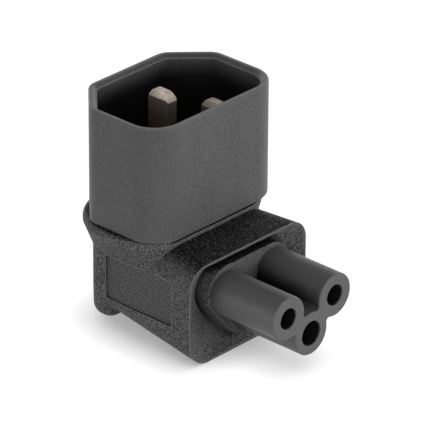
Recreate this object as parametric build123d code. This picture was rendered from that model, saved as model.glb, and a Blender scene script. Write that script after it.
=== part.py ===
from build123d import *
import os

# Right-angle mains adapter: an IEC C14 inlet that opens upwards, joined to an
# IEC C5 outlet that points forwards. Millimetres.
# +Z is the way the inlet opens, +X is the way the outlet points, and the
# origin is under the middle of the adapter, level with its lowest edge.

# Inlet cavity and blades: the usual C14 sizes from memory, and tips set by the photo
cavity_width = 24.5
cavity_height = 16.5
cavity_chamfer = 5.0
cavity_depth = 16.5
pin_spacing = 14.0
pin_offset = 2.0
blade_wide = 4.0
blade_thick = 2.0
earth_tip_below_rim = 1.05
live_tip_below_rim = 3.9
blade_edge_radius = 0.2
blade_tip_thick = 1.0
blade_face_slope = 1.06
blade_tip_wide = 2.6
blade_side_slope = 1.4
blade_tip_radius = 0.9

# Inlet shroud
shroud_wall = 1.25
shroud_floor = 1.8
inlet_rise = 7.7
shroud_front_radius = 5.1
shroud_back_radius = 2.8
mouth_lead_in = 0.55
rim_rounding = 0.3
shroud_foot_rounding = 0.2
plug_inset = 3.0
plug_depth = 2.5
plug_flange_step = 0.6
plug_flange_height = 1.0
plug_front_radius = 3.2
plug_back_radius = 1.6

# Pin tails and the plate that locks them from behind
shoulder_wide = 5.2
shoulder_thick = 3.0
shoulder_height = 1.2
stem_wide = 2.4
stem_thick = 1.0
retainer_height = 1.2
retainer_margin = 1.4
retainer_radius = 1.0
pin_barrel_length = 2.2
pin_barrel_gap = 0.5

# Outlet: the usual C5 spacing and lobes from memory, and reach set by the photo
outlet_reach = 12.42
outlet_floor = 2.57
contact_spacing = 10.0
earth_drop = 4.33
lobe_diameter = 6.8
lobe_web_radius = 0.5
web_corner_margin = 0.5
lobe_edge_rounding = 0.25
live_bore_diameter = 3.2
earth_bore_diameter = 3.8
bore_depth = 3.0
bore_lead_in = 0.2

# Contacts and the cap behind them
contact_sheet = 0.45
contact_slit = 0.35
contact_set_back = 4.08
contact_neck_length = 1.6
contact_barrel_length = 2.1
insulator_flange_step = 1.0
insulator_flange_length = 1.3
cap_length = 1.4

# Wires
core_diameter = 1.2
jacket_diameter = 2.4
barrel_wall = 0.4
live_bend_radius = 2.4
earth_bend_radius = 3.0
joggle_bend_radius = 2.0
core_tuck = 0.3
joggle_lead = 0.8

# Block around the outlet
block_front = 15.28
body_side_inset = 1.0
block_roof = 2.35
block_top_slope = 0.059
block_under_slope = 0.168
block_top_radius_front = 3.5
block_top_radius_growth = 0.28
block_bottom_radius = 4.0
block_tail = 2.6

# Neck below the shroud, heel and collar
neck_front_inset = 1.0
body_back_inset = 0.5
neck_front_radius = 4.7
body_back_radius = 2.3
neck_start = 8.0
heel_length = 8.5
heel_low = 1.9
heel_high = 9.0
heel_bottom_radius = 2.2
collar_overhang = 1.0
collar_back_overhang = 0.6
collar_band = 1.1
collar_flare = 3.3
collar_edge_rounding = 0.9
collar_back_radius = 9.6
collar_front_radius = 5.5
ledge_height = 0.45
ledge_depth = 0.5

# Nose of the outlet and the sunk ring around it
nose_step = 0.17
nose_top_land = 0.75
nose_foot_land = 0.2
nose_shoulder_reach = 0.85
nose_foot_half = 3.0
nose_top_radius = 4.0
nose_foot_radius = 3.0
nose_edge_rounding = 0.3
nose_side_draft = 0.35
ring_depth = 2.18
ring_land = 0.35

# Side panel
panel_left = -1.6
panel_right = 11.6
panel_low = 5.9
panel_high = 13.05
panel_depth = 0.45
panel_radius = 0.3

# Inner moulding around the wires
core_back_skin = 3.9
core_side_skin = 2.9
core_under_axis = 1.67
core_rounding = 1.2

# How near two places are when they count as one
same_place = 0.001

# Places worked out from the sizes above
half_cavity_x = cavity_height / 2
half_cavity_y = cavity_width / 2
half_shroud_x = half_cavity_x + shroud_wall
half_shroud_y = half_cavity_y + shroud_wall
lobe_radius = lobe_diameter / 2
earth_axis_height = outlet_floor + lobe_radius
outlet_axis_height = earth_axis_height + earth_drop
shroud_bottom = outlet_axis_height + inlet_rise
cavity_floor = shroud_bottom + shroud_floor
rim_height = cavity_floor + cavity_depth
plug_bottom = shroud_bottom - plug_depth
shoulder_low = plug_bottom + retainer_height
shoulder_high = shoulder_low + shoulder_height
live_y = pin_spacing / 2
contact_y = contact_spacing / 2
pin_barrel_top = plug_bottom - pin_barrel_gap
pin_barrel_foot = pin_barrel_top - pin_barrel_length
barrel_diameter = core_diameter + 2 * barrel_wall
outlet_front = block_front + outlet_reach
contact_front = outlet_front - bore_depth
contact_back = block_front - contact_set_back
cap_back = contact_back - cap_length
contact_barrel_front = contact_back - contact_neck_length
contact_barrel_back = contact_barrel_front - contact_barrel_length
block_half_width = half_shroud_y - body_side_inset
block_top_front = outlet_axis_height + lobe_radius + block_roof
nose_front = block_front + nose_step
nose_top_half = block_half_width + nose_shoulder_reach
ring_floor = block_front - ring_depth
core_half_width = block_half_width - core_side_skin
core_low = earth_axis_height - core_under_axis
neck_front = half_shroud_x - neck_front_inset
ledge_low = block_top_front + block_top_slope * (block_front - neck_front)
ledge_top = ledge_low + ledge_height
upper_neck_front = neck_front - ledge_depth
body_back = half_shroud_x - body_back_inset
heel_front = heel_length - body_back
block_back = heel_front - block_tail
core_back = core_back_skin - body_back
collar_back = half_shroud_x + collar_back_overhang
collar_half_width = half_shroud_y + collar_overhang

middle_x = (outlet_front - collar_back) / 2

# Each pole: its name, the side it lies on, its pin's x, its pin's tip and its bore
poles = {
    "line": (-1, pin_offset, live_tip_below_rim, live_bore_diameter),
    "neutral": (1, pin_offset, live_tip_below_rim, live_bore_diameter),
    "earth": (0, -pin_offset, earth_tip_below_rim, earth_bore_diameter),
}


def outlet_axis(side):
    """Where a pole's outlet axis crosses the YZ plane: y and z."""
    height = outlet_axis_height if side else earth_axis_height
    return side * contact_y, height


def chamfered_plan(back, front, half_width, inset, back_radius, front_radius):
    """The inlet's outline from above: a rectangle with its two back corners cut at
    45 degrees, so that the cut lies a given inset inside the shroud's own cut."""
    shroud_leg = cavity_chamfer + shroud_wall * (2 - 2 ** 0.5)
    cut_reach = half_shroud_x + half_shroud_y - shroud_leg - inset * 2 ** 0.5
    leg = back + half_width - cut_reach
    outline = Polygon(
        (front, -half_width),
        (front, half_width),
        (leg - back, half_width),
        (-back, half_width - leg),
        (-back, leg - half_width),
        (leg - back, -half_width),
        align=None,
    )
    outline = fillet(outline.vertices().group_by(Axis.X)[-1], front_radius)
    cut_corners = [v for v in outline.vertices() if v.X < leg - back + same_place]
    return fillet(cut_corners, back_radius)


def inlet_plan(inset, back_radius, front_radius):
    """The shroud's outline, moved inwards all round."""
    return chamfered_plan(
        half_shroud_x - inset,
        half_shroud_x - inset,
        half_shroud_y - inset,
        inset,
        back_radius,
        front_radius,
    )


def raised(sketch, low, high):
    """A plan sketch pulled up from one height to another."""
    return extrude(Pos(0, 0, low) * sketch, high - low)


def across(sketch, back, front):
    """A sketch on the YZ plane pulled forwards from one x to another."""
    return extrude(Plane.YZ.offset(back) * sketch, front - back)


def rod(x, y, diameter, low, high):
    """An upright round bar."""
    return raised(Pos(x, y) * Circle(diameter / 2), low, high)


def bar(y, z, diameter, back, front):
    """A round bar along X."""
    return across(Pos(y, z) * Circle(diameter / 2), back, front)


def upright_block(x, y, wide, thick, low, high):
    """An upright rectangular bar."""
    return raised(Pos(x, y) * Rectangle(wide, thick), low, high)


def edges_at(shape, axis, place):
    """The edges that lie wholly at one place along an axis."""
    return [
        e
        for e in shape.edges()
        if abs(tuple(e.bounding_box().min)[axis] - place) < same_place
        and abs(tuple(e.bounding_box().max)[axis] - place) < same_place
    ]


def blade_outline(full, tapered, slope_height, tip):
    """One blade from the side: straight, then drawn in towards its tip."""
    return Polygon(
        (-full / 2, shoulder_high),
        (-full / 2, tip - slope_height),
        (-tapered / 2, tip),
        (tapered / 2, tip),
        (full / 2, tip - slope_height),
        (full / 2, shoulder_high),
        align=None,
    )


def pin(side, x, tip_below_rim):
    """One blade with its locking shoulder, flat stem and crimp barrel."""
    y = side * live_y
    tip = rim_height - tip_below_rim
    face = blade_outline(blade_wide, blade_tip_wide, blade_side_slope, tip)
    face = fillet(face.vertices().group_by(Axis.Y)[-1], blade_tip_radius)
    edge = blade_outline(blade_thick, blade_tip_thick, blade_face_slope, tip)
    plan = RectangleRounded(blade_wide, blade_thick, blade_edge_radius)
    blade = raised(plan, shoulder_high, tip)
    blade = blade & extrude(Plane.XZ * face, blade_thick, both=True)
    blade = Pos(x, y, 0) * (blade & extrude(Plane.YZ * edge, blade_wide, both=True))
    shoulder = upright_block(x, y, shoulder_wide, shoulder_thick, shoulder_low, shoulder_high)
    stem = upright_block(x, y, stem_wide, stem_thick, pin_barrel_top, shoulder_low)
    barrel = rod(x, y, barrel_diameter, pin_barrel_foot, pin_barrel_top)
    socket = rod(x, y, core_diameter, pin_barrel_foot, pin_barrel_top - core_tuck)
    return blade + shoulder + stem + (barrel - socket)


def contact(side, bore_diameter):
    """One sleeve, as wide inside as its bore, with its spring slit, neck and crimp barrel."""
    y, z = outlet_axis(side)
    diameter = bore_diameter + 2 * contact_sheet
    sleeve = bar(y, z, diameter, contact_back, contact_front)
    bore = bar(y, z, bore_diameter, contact_back + contact_sheet, contact_front)
    slit_back = contact_back + contact_sheet + barrel_diameter
    slit = Pos((slit_back + contact_front) / 2, y, z + diameter / 2) * Box(
        contact_front - slit_back, contact_slit, diameter
    )
    neck = bar(y, z, barrel_diameter, contact_barrel_back, contact_back)
    socket = bar(y, z, core_diameter, contact_barrel_back, contact_barrel_front - core_tuck)
    return sleeve - bore - slit + (neck - socket)


def wire_path(side, x, top, front):
    """The middle line of one lead, from its pin's barrel to its contact's barrel."""
    y, z = outlet_axis(side)
    start_y = side * live_y
    if side == 0:
        return FilletPolyline(
            (x, y, top), (x, y, z), (front, y, z), radius=earth_bend_radius
        )
    joggle = contact_barrel_back - joggle_lead
    return FilletPolyline(
        (x, start_y, top),
        (x, start_y, z),
        (joggle, y, z),
        (front, y, z),
        radius=[live_bend_radius, joggle_bend_radius],
    )


def swept_wire(path, diameter):
    """A round wire along a path."""
    section = Plane(origin=path @ 0, z_dir=path % 0) * Circle(diameter / 2)
    return sweep(section, path=path)


def wire_core(side, x):
    """The bare conductor of one lead, tucked into both crimp barrels."""
    path = wire_path(side, x, pin_barrel_top - core_tuck, contact_barrel_front - core_tuck)
    return swept_wire(path, core_diameter)


def wire_jacket(side, x, core):
    """The insulation of one lead, between the two barrels."""
    path = wire_path(side, x, pin_barrel_foot, contact_barrel_back)
    return swept_wire(path, jacket_diameter) - core


def retainer_plan():
    """The outline of the plate that closes the pocket under the pins."""
    return inlet_plan(plug_inset + retainer_margin, retainer_radius, retainer_radius)


def filled_shroud():
    """The outside of the inlet moulding, with its plug, as if it were solid."""
    outside = inlet_plan(0, shroud_back_radius, shroud_front_radius)
    shell = raised(outside, shroud_bottom, rim_height)
    shell = fillet(edges_at(shell, 2, rim_height), rim_rounding)
    shell = fillet(edges_at(shell, 2, shroud_bottom), shroud_foot_rounding)
    plug_plan = inlet_plan(plug_inset, plug_back_radius, plug_front_radius)
    plug = raised(plug_plan, plug_bottom, shroud_bottom)
    flange_inset = plug_inset - plug_flange_step
    flange_plan = inlet_plan(flange_inset, plug_back_radius, plug_front_radius)
    flange = raised(flange_plan, plug_bottom, plug_bottom + plug_flange_height)
    return shell + plug + flange


def inlet_shroud(pins):
    """The rigid inlet moulding: shroud, floor and plug in one piece."""
    cavity_plan = inlet_plan(
        shroud_wall, shroud_back_radius - shroud_wall, shroud_front_radius - shroud_wall
    )
    cavity = raised(cavity_plan, cavity_floor, rim_height)
    mouth = inlet_plan(
        shroud_wall - mouth_lead_in,
        shroud_back_radius - shroud_wall + mouth_lead_in,
        shroud_front_radius - shroud_wall + mouth_lead_in,
    )
    lead_in = loft(
        [Pos(0, 0, rim_height - mouth_lead_in) * cavity_plan, Pos(0, 0, rim_height) * mouth],
        ruled=True,
    )
    pocket = raised(retainer_plan(), plug_bottom, shoulder_low)
    body = filled_shroud() - cavity - lead_in - pocket
    for blade in pins:
        body = body - blade
    return body


def pin_retainer(pins):
    """The plate that stops the pins from being pushed back."""
    plate = raised(retainer_plan(), plug_bottom, shoulder_low)
    for blade in pins:
        plate = plate - blade
    return plate


def cloverleaf(radius):
    """Three joined circles, one round each outlet axis."""
    leaf = Sketch()
    for side, *_ in poles.values():
        leaf += Pos(*outlet_axis(side)) * Circle(radius)
    inner_corners = [
        v
        for v in leaf.vertices()
        if web_corner_margin < abs(v.X) < contact_y - web_corner_margin
    ]
    return fillet(inner_corners, lobe_web_radius)


def filled_insulator():
    """The outside of the outlet moulding, as if it had no bores."""
    lobes = across(cloverleaf(lobe_radius), contact_back, outlet_front)
    lobes = fillet(edges_at(lobes, 0, outlet_front), lobe_edge_rounding)
    flange_end = contact_back + insulator_flange_length
    flange = across(cloverleaf(lobe_radius + insulator_flange_step), contact_back, flange_end)
    return lobes + flange


def outlet_insulator():
    """The three joined outlet tubes, bored through and stepped for the contacts."""
    body = filled_insulator()
    for side, _, _, bore_diameter in poles.values():
        y, z = outlet_axis(side)
        chamber_diameter = bore_diameter + 2 * contact_sheet
        body = body - bar(y, z, bore_diameter, contact_front, outlet_front)
        body = body - bar(y, z, chamber_diameter, contact_back, contact_front)
        lead_in = Cone(bore_diameter / 2, bore_diameter / 2 + bore_lead_in, bore_lead_in)
        mouth = Pos(outlet_front - bore_lead_in / 2, y, z) * Rot(0, 90, 0) * lead_in
        body = body - mouth
    return body


def filled_cap():
    """The outside of the cap behind the contacts."""
    return across(cloverleaf(lobe_radius), cap_back, contact_back)


def outlet_cap(contacts):
    """The cap that holds the contacts in their chambers."""
    cap = filled_cap()
    for sleeve in contacts:
        cap = cap - sleeve
    return cap


def filled_core():
    """The outside of the inner moulding."""
    length = cap_back - core_back
    height = plug_bottom - core_low
    block = Pos((cap_back + core_back) / 2, 0, (plug_bottom + core_low) / 2) * Box(
        length, 2 * core_half_width, height
    )
    return fillet(
        block.edges().filter_by(Axis.X).group_by(Axis.Z)[0] + edges_at(block, 0, core_back),
        core_rounding,
    )


def inner_moulding(inserts):
    """The rigid plastic moulded round the leads and crimps."""
    core = filled_core()
    for insert in inserts:
        core = core - insert
    return core


def block_section(x):
    """The cross-section of the outlet block at one x."""
    behind = block_front - x
    low = block_under_slope * behind
    high = block_top_front + block_top_slope * behind
    section = Pos(0, (low + high) / 2) * Rectangle(2 * block_half_width, high - low)
    top_radius = block_top_radius_front + block_top_radius_growth * behind
    section = fillet(section.vertices().group_by(Axis.Y)[-1], top_radius)
    section = fillet(section.vertices().group_by(Axis.Y)[0], block_bottom_radius)
    return Plane.YZ.offset(x) * section


def nose_outline(spread, lift):
    """The rounded trapezoid round the outlet tubes, grown sideways and up or down."""
    top = outlet_axis_height + lobe_radius + nose_top_land
    foot = earth_axis_height - lobe_radius - nose_foot_land
    outline = Polygon(
        (-nose_top_half - spread, top),
        (-nose_foot_half - spread, foot - lift),
        (nose_foot_half + spread, foot - lift),
        (nose_top_half + spread, top),
        align=None,
    )
    outline = fillet(outline.vertices().group_by(Axis.Y)[-1], nose_top_radius)
    return fillet(outline.vertices().group_by(Axis.Y)[0], nose_foot_radius)


def sunk_ring():
    """The space round the nose: it slopes in from the block's front edge."""
    height = block_top_front - 2 * ring_land
    mouth = Pos(0, block_top_front / 2) * Rectangle(2 * (block_half_width - ring_land), height)
    mouth = fillet(mouth.vertices().group_by(Axis.Y)[-1], block_top_radius_front - ring_land)
    mouth = fillet(mouth.vertices().group_by(Axis.Y)[0], block_bottom_radius - ring_land)
    root = nose_outline(nose_side_draft, nose_foot_land)
    hollow = loft(
        [Plane.YZ.offset(ring_floor) * root, Plane.YZ.offset(block_front) * mouth], ruled=True
    )
    return hollow


def nose():
    """The drafted boss that the outlet tubes come out of."""
    root = Plane.YZ.offset(ring_floor) * nose_outline(nose_side_draft, nose_foot_land)
    face = Plane.YZ.offset(nose_front) * nose_outline(0, 0)
    boss = loft([root, face], ruled=True)
    return fillet(edges_at(boss, 0, nose_front), nose_edge_rounding)


def outer_body():
    """The outside of the soft jacket, as if it were solid."""
    block = loft([block_section(block_back), block_section(block_front)], ruled=True)
    block = block - sunk_ring() + nose()
    body_plan = chamfered_plan(
        body_back, neck_front, block_half_width, body_back_inset,
        body_back_radius, neck_front_radius,
    )
    upper_plan = chamfered_plan(
        body_back, upper_neck_front, block_half_width, body_back_inset,
        body_back_radius, neck_front_radius,
    )
    collar_plan = chamfered_plan(
        collar_back, upper_neck_front, collar_half_width, -collar_overhang,
        collar_back_radius, collar_front_radius,
    )
    heel_plan = chamfered_plan(
        body_back, heel_front, block_half_width, body_back_inset,
        body_back_radius, body_back_radius,
    )
    heel = raised(heel_plan, heel_low, heel_high)
    heel = fillet(edges_at(heel, 2, heel_low), heel_bottom_radius)
    neck = raised(body_plan, neck_start, ledge_top)
    band_low = shroud_bottom - collar_band
    band = raised(collar_plan, band_low, shroud_bottom)
    band = fillet(edges_at(band, 2, shroud_bottom), collar_edge_rounding)
    flare = loft(
        [Pos(0, 0, band_low - collar_flare) * upper_plan, Pos(0, 0, band_low) * collar_plan],
        ruled=True,
    )
    return block + heel + neck + band + flare


def panel():
    """The shallow recess in the side that faces -Y."""
    wide = panel_right - panel_left
    tall = panel_high - panel_low
    middle = Pos((panel_left + panel_right) / 2, (panel_low + panel_high) / 2)
    face = middle * RectangleRounded(wide, tall, panel_radius)
    return Pos(0, panel_depth - block_half_width, 0) * extrude(Plane.XZ * face, 2 * panel_depth)


def soft_jacket():
    """The outer moulding over everything but the inlet shroud and the outlet tubes."""
    jacket = outer_body() - panel()
    for inside in (filled_shroud(), filled_core(), filled_cap(), filled_insulator()):
        jacket = jacket - inside
    return jacket


def build():
    """Every piece of the adapter, by name."""
    pieces = {}
    for name, (side, x, tip_below_rim, bore_diameter) in poles.items():
        pieces["inlet_pin_" + name] = pin(side, x, tip_below_rim)
        pieces["outlet_contact_" + name] = contact(side, bore_diameter)
        pieces["wire_core_" + name] = wire_core(side, x)
        pieces["wire_jacket_" + name] = wire_jacket(side, x, pieces["wire_core_" + name])
    pins = [pieces["inlet_pin_" + name] for name in poles]
    contacts = [pieces["outlet_contact_" + name] for name in poles]
    inserts = list(pieces.values())
    pieces["inlet_shroud"] = inlet_shroud(pins)
    pieces["pin_retainer"] = pin_retainer(pins)
    pieces["outlet_insulator"] = outlet_insulator()
    pieces["outlet_cap"] = outlet_cap(contacts)
    pieces["inner_moulding"] = inner_moulding(inserts)
    pieces["outer_moulding"] = soft_jacket()
    return pieces


os.makedirs("parts", exist_ok=True)
for piece_name, piece in build().items():
    export_step(Pos(-middle_x, 0, 0) * piece, os.path.join("parts", piece_name + ".step"))
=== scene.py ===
import math
import bpy
from mathutils import Matrix, Vector

# Looks of the right-angle mains adapter. Metres, in the frame of the solids:
# +Z is the way the inlet opens and +X is the way the outlet points.

MM = 0.001

# Camera, at the photograph's angle
CAMERA_PLACE = Vector((383.26, -414.95, 308.53)) * MM
CAMERA_TURN = math.radians(42.729)
CAMERA_LOOKS_DOWN = math.radians(27.189)
CAMERA_ROLL = math.radians(0.362)
CAMERA_LENS = 363.3
SENSOR = 36.0
CLIP_START = 0.01
CLIP_END = 20.0

# Light of the surround at the horizon and overhead, how bright overhead looks in
# a mirror, the floor's own white in the open, and its glow and reach in the painted contact shadow
WORLD_LOW = 0.14
WORLD_HIGH = 0.12
MIRRORED_HIGH = 0.12
FLOOR_GLOW = 0.85
PAINTED_SHADOW_GLOW = 0.27
PAINTED_SHADOW_REACH = 7.0 * MM

# Lamps: name, direction from the object, width, height and power
LAMPS = (
    ("key", (0.97, 0.24, 0.13), 0.5, 0.14, 2.0),
    ("fill", (-0.26, -0.97, 0.13), 0.5, 0.14, 1.05),
    ("front", (0.7, -0.7, 0.2), 0.3, 0.2, 0.65),
    ("right", (-0.15, 1.0, 0.2), 0.5, 0.18, 0.8),
    ("behind", (-1.0, 0.1, 0.2), 0.5, 0.18, 0.8),
)
LAMP_DISTANCE = 0.6
LAMPS_AIM = Vector((-4, 0, 16)) * MM

# The white floor
FLOOR_SIZE = 6.0
PAPER = (0.8, 0.8, 0.8, 1)
WHITE = (1, 1, 1, 1)

# Where the inlet's cavity lies, how deep its painted shade sets in, and how soft its border is
CAVITY_RIM = 36.3 * MM
CAVITY_FADE = 3.6 * MM
CAVITY_MIDDLE = -8.8 * MM
CAVITY_HALF_X = 8.6 * MM
CAVITY_HALF_Y = 12.6 * MM
CAVITY_BORDER = 0.2 * MM
INWARD_BORDER = 0.6 * MM

# The outlet's bores, whose walls get painted shade: y, z and radius
BORES = ((-5.0, 10.3, 1.6), (5.0, 10.3, 1.6), (0.0, 5.97, 1.9))
BORE_NEAR = 0.04
BORE_FAR = 0.12

# Grain sizes of the surfaces
SPARK_GRAIN = 0.18 * MM
FINE_GRAIN = 0.11 * MM
SATIN_GRAIN = 0.20 * MM
BLOTCH = 6.0 * MM
SCRATCH = 0.10 * MM
TARNISH = 2.4 * MM

# Widths of the painted edge highlights, also the radii of the rounded edge normals
SOFT_EDGE = 0.13 * MM
SHROUD_EDGE = 0.36 * MM
TUBE_EDGE = 0.14 * MM
METAL_EDGE = 0.12 * MM

# How far the painted shade in a recess reaches
OVERMOULD_SHADE_REACH = 1.4 * MM
SHROUD_SHADE_REACH = 12 * MM
TUBE_SHADE_REACH = 5 * MM

# Tones of the overmould: pits, peaks and clouding of its grain, painted glints, painted shade on
# faces that look up, a painted edge highlight and painted shade for recesses
PIT = (0.013, 0.013, 0.013)
PEAK = (0.185, 0.185, 0.187)
CLOUD = (0.07, 0.07, 0.071)
FAINT_PAINTED_GLINT = (0.28, 0.28, 0.283)
TOP_SHADED_PIT = (0.001, 0.001, 0.001)
TOP_SHADED_PEAK = (0.02, 0.02, 0.02)
TOP_PAINTED_GLINT = (0.3, 0.3, 0.303)
OVERMOULD_EDGE_HIGHLIGHT = (0.42, 0.42, 0.425)
OVERMOULD_PAINTED_SHADE = (0.003, 0.003, 0.003)
OVERMOULD_SHEEN = 0.1

# Tones of the satin plastic: specks, painted shade in hollows, a painted edge highlight and
# painted shade for recesses; the third tone of each part below is painted light on faces that look
# up
SPECK = (0.15, 0.15, 0.152)
HOLLOW_SHADE = (0.014, 0.014, 0.014)
SATIN_EDGE_HIGHLIGHT = (0.3, 0.3, 0.303)
SATIN_PAINTED_SHADE = (0.008, 0.008, 0.008)
SATIN_SHEEN = 0.25
SHROUD_TONES = ((0.062, 0.062, 0.063), (0.078, 0.078, 0.079), (0.3, 0.3, 0.303))
TUBE_TONES = ((0.092, 0.092, 0.093), (0.11, 0.11, 0.111), (0.15, 0.15, 0.151))

# Tones of the metals, fresh and tarnished, and of the inner pieces; the contacts' tones
# are kept dark as painted shade for their place deep in the bores
PIN_TONES = ((0.72, 0.62, 0.52), (0.4, 0.34, 0.28))
SHADED_SPRING_TONES = ((0.16, 0.13, 0.09), (0.1, 0.08, 0.05))
COPPER_TONES = ((0.8, 0.42, 0.24), (0.5, 0.24, 0.12))
GREEN = (0.03, 0.2, 0.03)
YELLOW = (0.7, 0.55, 0.02)
STRIPES = 260.0

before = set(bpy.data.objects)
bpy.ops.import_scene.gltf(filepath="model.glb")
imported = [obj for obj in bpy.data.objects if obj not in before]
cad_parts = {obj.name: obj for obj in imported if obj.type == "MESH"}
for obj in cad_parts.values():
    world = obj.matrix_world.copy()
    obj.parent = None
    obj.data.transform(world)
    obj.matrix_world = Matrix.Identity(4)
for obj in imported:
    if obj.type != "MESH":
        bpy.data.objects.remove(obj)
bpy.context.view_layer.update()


def new_material(name):
    """A material with an empty node tree, its shader and its output."""
    material = bpy.data.materials.new(name)
    material.use_nodes = True
    tree = material.node_tree
    tree.nodes.clear()
    output = tree.nodes.new("ShaderNodeOutputMaterial")
    shader = tree.nodes.new("ShaderNodeBsdfPrincipled")
    tree.links.new(shader.outputs["BSDF"], output.inputs["Surface"])
    return material, tree, shader


def add(tree, kind, **settings):
    """One node, with its inputs and settings given by name."""
    node = tree.nodes.new("ShaderNode" + kind)
    for name, value in settings.items():
        if hasattr(node, name):
            setattr(node, name, value)
        else:
            node.inputs[name.replace("_", " ")].default_value = value
    return node


def join(tree, source, target, name=None):
    """Joins a node's first output, or an output given as (node, name), to an input."""
    out = source[0].outputs[source[1]] if isinstance(source, tuple) else source.outputs[0]
    tree.links.new(out, target.inputs[name])


def combine(tree, operation, nodes):
    """One value from several, each joined to the last by an operation."""
    found = nodes[0]
    for node in nodes[1:]:
        both = add(tree, "Math", operation=operation)
        join(tree, found, both, 0)
        join(tree, node, both, 1)
        found = both
    return found


def place(tree, stretch=(1, 1, 1)):
    """Where a point lies on the object, in metres, stretched along each axis."""
    where = add(tree, "TexCoord")
    mapping = add(tree, "Mapping")
    mapping.inputs["Scale"].default_value = stretch
    join(tree, (where, "Object"), mapping, "Vector")
    return mapping


def grain(tree, size, detail=2.0, roughness=0.5, stretch=(1, 1, 1)):
    """Noise whose lumps are about as large as the given size."""
    noise = add(tree, "TexNoise", Scale=1 / size, Detail=detail, Roughness=roughness)
    join(tree, place(tree, stretch), noise, "Vector")
    return noise


def band(tree, source, low, high, out_low=0.0, out_high=1.0):
    """Stretches a value's range from low..high to another one."""
    ranged = add(tree, "MapRange", From_Min=low, From_Max=high, To_Min=out_low, To_Max=out_high)
    join(tree, source, ranged, "Value")
    return ranged


def blend_colour(tree, factor, first, second):
    """A colour that goes from the first to the second with a factor."""
    mix = tree.nodes.new("ShaderNodeMix")
    mix.data_type = "RGBA"
    for socket, colour in ((6, first), (7, second)):
        if isinstance(colour, tuple):
            mix.inputs[socket].default_value = (*colour, 1)
        else:
            tree.links.new(colour, mix.inputs[socket])
    tree.links.new(factor.outputs[0], mix.inputs[0])
    return mix.outputs[2]


def edge_highlight_mask(tree, radius):
    """Rises to 1 on the object's sharp edges, where a painted highlight is laid; the bevel also
    rounds their normals.
    """
    bevel = add(tree, "Bevel", Radius=radius)
    bevel.samples = 6
    plain = add(tree, "NewGeometry")
    dot = add(tree, "VectorMath", operation="DOT_PRODUCT")
    join(tree, bevel, dot, 0)
    join(tree, (plain, "Normal"), dot, 1)
    turned = band(tree, (dot, "Value"), 0.999, 0.9)
    return turned, bevel


def bumped(tree, height, strength, distance, under=None):
    """A bump from a height, over another normal if one is given."""
    bump = add(tree, "Bump", Strength=strength, Distance=distance)
    join(tree, height, bump, "Height")
    if under is not None:
        join(tree, under, bump, "Normal")
    return bump


def recess_shade_mask(tree, reach):
    """1 on open surfaces, falling to 0 deep in a recess, where painted shade is laid."""
    shade = add(tree, "AmbientOcclusion", Distance=reach)
    shade.samples = 8
    return band(tree, (shade, "AO"), 0.15, 0.75)


def cavity_shade_mask(tree):
    """1 deep in the inlet's cavity, where painted shade is laid, falling to 0 at its rim and
    outside it.
    """
    where = add(tree, "TexCoord")
    middle = add(tree, "VectorMath", operation="SUBTRACT")
    join(tree, (where, "Object"), middle, 0)
    middle.inputs[1].default_value = (CAVITY_MIDDLE, 0, 0)
    flat = add(tree, "VectorMath", operation="MULTIPLY")
    join(tree, middle, flat, 0)
    flat.inputs[1].default_value = (1, 1, 0)
    size = add(tree, "VectorMath", operation="ABSOLUTE")
    join(tree, middle, size, 0)
    split = add(tree, "SeparateXYZ")
    join(tree, size, split, "Vector")
    shape = add(tree, "NewGeometry")
    facing = add(tree, "VectorMath", operation="DOT_PRODUCT")
    join(tree, (shape, "Normal"), facing, 0)
    join(tree, flat, facing, 1)
    return combine(tree, "MULTIPLY", [
        band(tree, (facing, "Value"), INWARD_BORDER, CAVITY_BORDER),
        band(tree, (split, "X"), CAVITY_HALF_X, CAVITY_HALF_X - CAVITY_BORDER),
        band(tree, (split, "Y"), CAVITY_HALF_Y, CAVITY_HALF_Y - CAVITY_BORDER),
        band(tree, (split, "Z"), CAVITY_RIM, CAVITY_RIM - CAVITY_FADE),
    ])


def bore_shade_mask(tree):
    """1 on the walls of the outlet's bores, where painted shade is laid, and 0 outside them."""
    where = add(tree, "TexCoord")
    split = add(tree, "SeparateXYZ")
    join(tree, (where, "Object"), split, "Vector")
    flat = add(tree, "CombineXYZ")
    tree.links.new(split.outputs["Y"], flat.inputs["Y"])
    tree.links.new(split.outputs["Z"], flat.inputs["Z"])
    near = []
    for y, z, radius in BORES:
        reach = add(tree, "VectorMath", operation="DISTANCE")
        join(tree, flat, reach, 0)
        reach.inputs[1].default_value = (0, y * MM, z * MM)
        far = (radius + BORE_FAR) * MM
        near.append(band(tree, (reach, "Value"), far, (radius + BORE_NEAR) * MM))
    return combine(tree, "MAXIMUM", near)


def up_facing_paint_mask(tree):
    """1 on faces that look straight up, falling to 0 on sloping ones; it lays painted shade on the
    overmould's tops and painted light on the tops of the shroud and the tubes.
    """
    shape = add(tree, "NewGeometry")
    split = add(tree, "SeparateXYZ")
    join(tree, (shape, "Normal"), split, "Vector")
    return band(tree, (split, "Z"), 0.72, 0.97)


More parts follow.
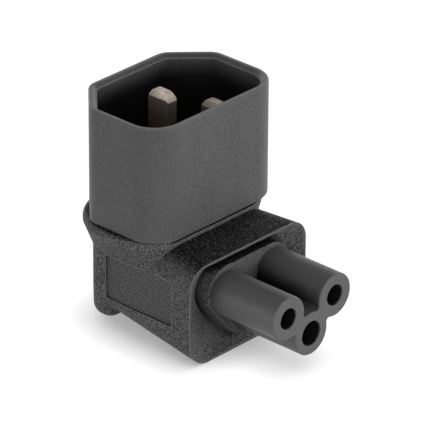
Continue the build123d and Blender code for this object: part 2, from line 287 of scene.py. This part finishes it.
def textured_plastic():
    """Soft dark plastic with the fine pitted grain of a spark-eroded mould, painted glints, painted
    shade on its tops and in recesses, and a painted edge highlight.
    """
    material, tree, shader = new_material("textured_plastic")
    coarse = grain(tree, SPARK_GRAIN, 2.0, 0.6)
    fine = grain(tree, FINE_GRAIN, 1.0)
    blotch = grain(tree, BLOTCH, 3.0)
    painted_edge_highlight, rounded = edge_highlight_mask(tree, SOFT_EDGE)
    pits = band(tree, coarse, 0.38, 0.62)
    # Painted highlights: glints on the grain's highest peaks, faint on the sides, strong on faces
    # that look up.
    painted_glint = band(tree, coarse, 0.59, 0.66)
    faint = band(tree, coarse, 0.59, 0.66, 0.0, 0.35)
    cloudy = band(tree, blotch, 0.35, 0.7, 0.0, 0.25)
    base = blend_colour(tree, pits, PIT, PEAK)
    base = blend_colour(tree, cloudy, base, CLOUD)
    base = blend_colour(tree, faint, base, FAINT_PAINTED_GLINT)
    # Painted shade: faces that look up get much darker pits and peaks.
    painted_top_tone = blend_colour(tree, pits, TOP_SHADED_PIT, TOP_SHADED_PEAK)
    painted_top_tone = blend_colour(tree, painted_glint, painted_top_tone, TOP_PAINTED_GLINT)
    base = blend_colour(tree, up_facing_paint_mask(tree), base, painted_top_tone)
    # Painted highlight along the sharp edges.
    base = blend_colour(tree, painted_edge_highlight, base, OVERMOULD_EDGE_HIGHLIGHT)
    # Painted shade deep in recesses.
    base = blend_colour(tree, recess_shade_mask(tree, OVERMOULD_SHADE_REACH), OVERMOULD_PAINTED_SHADE, base)
    tree.links.new(base, shader.inputs["Base Color"])
    join(tree, band(tree, coarse, 0.35, 0.7, 0.75, 0.4), shader, "Roughness")
    low = bumped(tree, coarse, 1.0, 0.08 * MM, rounded)
    join(tree, bumped(tree, fine, 0.6, 0.03 * MM, low), shader, "Normal")
    shader.inputs["Specular IOR Level"].default_value = OVERMOULD_SHEEN
    return material


def satin_plastic(name, tones, edge, recess, shaded_hollow):
    """Hard dark plastic with a satin skin, faint flow marks, a painted edge highlight, painted
    light on its tops and painted shade in hollows and recesses.
    """
    material, tree, shader = new_material(name)
    skin = grain(tree, SATIN_GRAIN, 1.0)
    flow = grain(tree, BLOTCH, 4.0, 0.55, (1, 1, 0.35))
    painted_edge_highlight, rounded = edge_highlight_mask(tree, edge)
    streaks = band(tree, flow, 0.3, 0.7)
    dark, light, painted_top_tone = tones
    base = blend_colour(tree, streaks, dark, light)
    specks = band(tree, skin, 0.4, 0.65, 0.0, 0.5)
    base = blend_colour(tree, specks, base, SPECK)
    # Painted light: faces that look up take the lighter third tone.
    base = blend_colour(tree, up_facing_paint_mask(tree), base, painted_top_tone)
    # Painted shade inside the inlet's cavity and the outlet's bores.
    base = blend_colour(tree, shaded_hollow(tree), base, HOLLOW_SHADE)
    # Painted highlight along the sharp edges.
    base = blend_colour(tree, painted_edge_highlight, base, SATIN_EDGE_HIGHLIGHT)
    # Painted shade deep in recesses.
    base = blend_colour(tree, recess_shade_mask(tree, recess), SATIN_PAINTED_SHADE, base)
    tree.links.new(base, shader.inputs["Base Color"])
    join(tree, band(tree, flow, 0.3, 0.7, 0.52, 0.44), shader, "Roughness")
    join(tree, bumped(tree, skin, 0.5, 0.02 * MM, rounded), shader, "Normal")
    shader.inputs["Specular IOR Level"].default_value = SATIN_SHEEN
    return material


def plain_plastic(name, colour, shade):
    """Plain moulded plastic with faint clouding and a fine skin."""
    material, tree, shader = new_material(name)
    cloud = grain(tree, BLOTCH, 3.0)
    skin = grain(tree, SATIN_GRAIN, 1.0)
    base = blend_colour(tree, band(tree, cloud, 0.3, 0.7), colour, shade)
    tree.links.new(base, shader.inputs["Base Color"])
    join(tree, band(tree, cloud, 0.3, 0.7, 0.45, 0.6), shader, "Roughness")
    join(tree, bumped(tree, skin, 0.2, 0.01 * MM), shader, "Normal")
    return material


def plated_metal(name, tones, stretch, roughness, metallic=1.0):
    """Plated metal with fine drawn scratches along the piece and a faint tarnish."""
    material, tree, shader = new_material(name)
    scratches = grain(tree, SCRATCH, 1.0, 0.5, stretch)
    cloud = grain(tree, TARNISH, 2.0)
    painted_edge_highlight, rounded = edge_highlight_mask(tree, METAL_EDGE)
    colour, tarnish = tones
    base = blend_colour(tree, band(tree, cloud, 0.3, 0.75), colour, tarnish)
    # Painted highlight along the sharp edges, brighter than the metal.
    base = blend_colour(tree, painted_edge_highlight, base, tuple(min(1.0, 1.4 * c) for c in colour))
    tree.links.new(base, shader.inputs["Base Color"])
    shader.inputs["Metallic"].default_value = metallic
    join(tree, band(tree, cloud, 0.3, 0.7, roughness, roughness + 0.12), shader, "Roughness")
    join(tree, bumped(tree, scratches, 0.12, 0.004 * MM, rounded), shader, "Normal")
    return material


def striped_jacket():
    """Green wire insulation with yellow stripes along it."""
    material, tree, shader = new_material("earth_jacket")
    wave = add(tree, "TexWave", Scale=STRIPES, Distortion=0.0)
    wave.bands_direction = "DIAGONAL"
    join(tree, place(tree), wave, "Vector")
    stripes = band(tree, wave, 0.45, 0.55)
    skin = grain(tree, SATIN_GRAIN, 1.0)
    base = blend_colour(tree, stripes, GREEN, YELLOW)
    tree.links.new(base, shader.inputs["Base Color"])
    shader.inputs["Roughness"].default_value = 0.45
    join(tree, bumped(tree, skin, 0.2, 0.01 * MM), shader, "Normal")
    return material


def dress_nodes():
    """Gives every solid its material."""
    along_z = (1, 1, 0.04)
    along_x = (0.04, 1, 1)
    pin = plated_metal("plated_pin", PIN_TONES, along_z, 0.36, 0.7)
    # The contacts' dark tones are painted shade for their place in the bores.
    spring = plated_metal("contact_bronze", SHADED_SPRING_TONES, along_x, 0.55)
    copper = plated_metal("bare_copper", COPPER_TONES, along_x, 0.34)
    shroud = satin_plastic(
        "shroud_plastic", SHROUD_TONES, SHROUD_EDGE, SHROUD_SHADE_REACH, cavity_shade_mask
    )
    tubes = satin_plastic("tube_plastic", TUBE_TONES, TUBE_EDGE, TUBE_SHADE_REACH, bore_shade_mask)
    looks = {
        "outer_moulding": textured_plastic(),
        "inlet_shroud": shroud,
        "outlet_insulator": tubes,
        "inner_moulding": plain_plastic("inner_plastic", (0.5, 0.5, 0.48), (0.42, 0.42, 0.4)),
        "pin_retainer": plain_plastic("retainer_plastic", (0.35, 0.35, 0.34), (0.3, 0.3, 0.29)),
        "outlet_cap": plain_plastic("cap_plastic", (0.35, 0.35, 0.34), (0.3, 0.3, 0.29)),
        "wire_jacket_line": plain_plastic("line_jacket", (0.2, 0.08, 0.03), (0.15, 0.06, 0.02)),
        "wire_jacket_neutral": plain_plastic("neutral_jacket", (0.03, 0.14, 0.4), (0.02, 0.1, 0.3)),
        "wire_jacket_earth": striped_jacket(),
    }
    for pole in ("line", "neutral", "earth"):
        looks["inlet_pin_" + pole] = pin
        looks["outlet_contact_" + pole] = spring
        looks["wire_core_" + pole] = copper
    for name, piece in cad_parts.items():
        piece.data.materials.clear()
        piece.data.materials.append(looks[name])


def seen_directly(tree):
    """1 for rays from the camera and for mirror and clear rays, and 0 for the rest."""
    path = add(tree, "LightPath")
    rays = ("Is Camera Ray", "Is Glossy Ray", "Is Transmission Ray")
    return combine(tree, "MAXIMUM", [(path, ray) for ray in rays])


def make_world():
    """A plain white surround that lights the object softly, least from overhead."""
    world = bpy.data.worlds.new("studio")
    bpy.context.scene.world = world
    world.use_nodes = True
    tree = world.node_tree
    tree.nodes.clear()
    output = tree.nodes.new("ShaderNodeOutputWorld")
    background = add(tree, "Background")
    background.inputs["Color"].default_value = WHITE
    way = add(tree, "TexCoord")
    split = add(tree, "SeparateXYZ")
    join(tree, (way, "Generated"), split, "Vector")
    soft = band(tree, (split, "Z"), 0.05, 0.6, WORLD_LOW, WORLD_HIGH)
    mirrored = band(tree, (split, "Z"), 0.55, 0.9, 1.0, MIRRORED_HIGH)
    strength = add(tree, "Mix")
    join(tree, seen_directly(tree), strength, 0)
    tree.links.new(soft.outputs[0], strength.inputs[2])
    tree.links.new(mirrored.outputs[0], strength.inputs[3])
    join(tree, strength, background, "Strength")
    tree.links.new(background.outputs[0], output.inputs["Surface"])


def make_floor():
    """A white floor that keeps the object's soft shadow, with a painted contact shadow where its
    glow dims near the object.
    """
    bpy.ops.mesh.primitive_plane_add(size=FLOOR_SIZE, location=(0, 0, 0))
    floor = bpy.context.object
    floor.name = "studio_floor"
    material = bpy.data.materials.new("floor_white")
    material.use_nodes = True
    tree = material.node_tree
    tree.nodes.clear()
    output = tree.nodes.new("ShaderNodeOutputMaterial")
    paper = add(tree, "BsdfDiffuse")
    paper.inputs["Color"].default_value = PAPER
    glow = add(tree, "Emission")
    glow.inputs["Color"].default_value = WHITE
    near = add(tree, "AmbientOcclusion", Distance=PAINTED_SHADOW_REACH)
    near.samples = 16
    # Painted shadow: the floor's glow dims where the object is near.
    shadow = band(tree, (near, "AO"), 0.25, 0.95, PAINTED_SHADOW_GLOW, FLOOR_GLOW)
    lit = combine(tree, "MULTIPLY", [shadow, seen_directly(tree)])
    join(tree, lit, glow, "Strength")
    both = add(tree, "AddShader")
    join(tree, paper, both, 0)
    join(tree, glow, both, 1)
    tree.links.new(both.outputs[0], output.inputs["Surface"])
    floor.data.materials.append(material)


def make_lamp(name, direction, width, height, power):
    """A large soft lamp that faces the object from one direction."""
    data = bpy.data.lights.new(name, "AREA")
    data.shape = "RECTANGLE"
    data.size = width
    data.size_y = height
    data.energy = power
    lamp = bpy.data.objects.new(name, data)
    bpy.context.scene.collection.objects.link(lamp)
    towards = Vector(direction).normalized()
    lamp.location = LAMPS_AIM + LAMP_DISTANCE * towards
    lamp.rotation_euler = towards.to_track_quat("Z", "Y").to_euler()


def make_camera():
    """The camera, where the photograph was taken from."""
    data = bpy.data.cameras.new("camera")
    data.lens = CAMERA_LENS
    data.sensor_width = SENSOR
    data.clip_start = CLIP_START
    data.clip_end = CLIP_END
    camera = bpy.data.objects.new("camera", data)
    bpy.context.scene.collection.objects.link(camera)
    turned = Matrix.Rotation(CAMERA_TURN, 4, "Z")
    tipped = Matrix.Rotation(math.pi / 2 - CAMERA_LOOKS_DOWN, 4, "X")
    rolled = Matrix.Rotation(CAMERA_ROLL, 4, "Z")
    camera.matrix_world = Matrix.Translation(CAMERA_PLACE) @ turned @ tipped @ rolled
    bpy.context.scene.camera = camera


dress_nodes()
make_world()
make_floor()
for lamp_settings in LAMPS:
    make_lamp(*lamp_settings)
make_camera()
bpy.context.scene.view_settings.view_transform = "Standard"
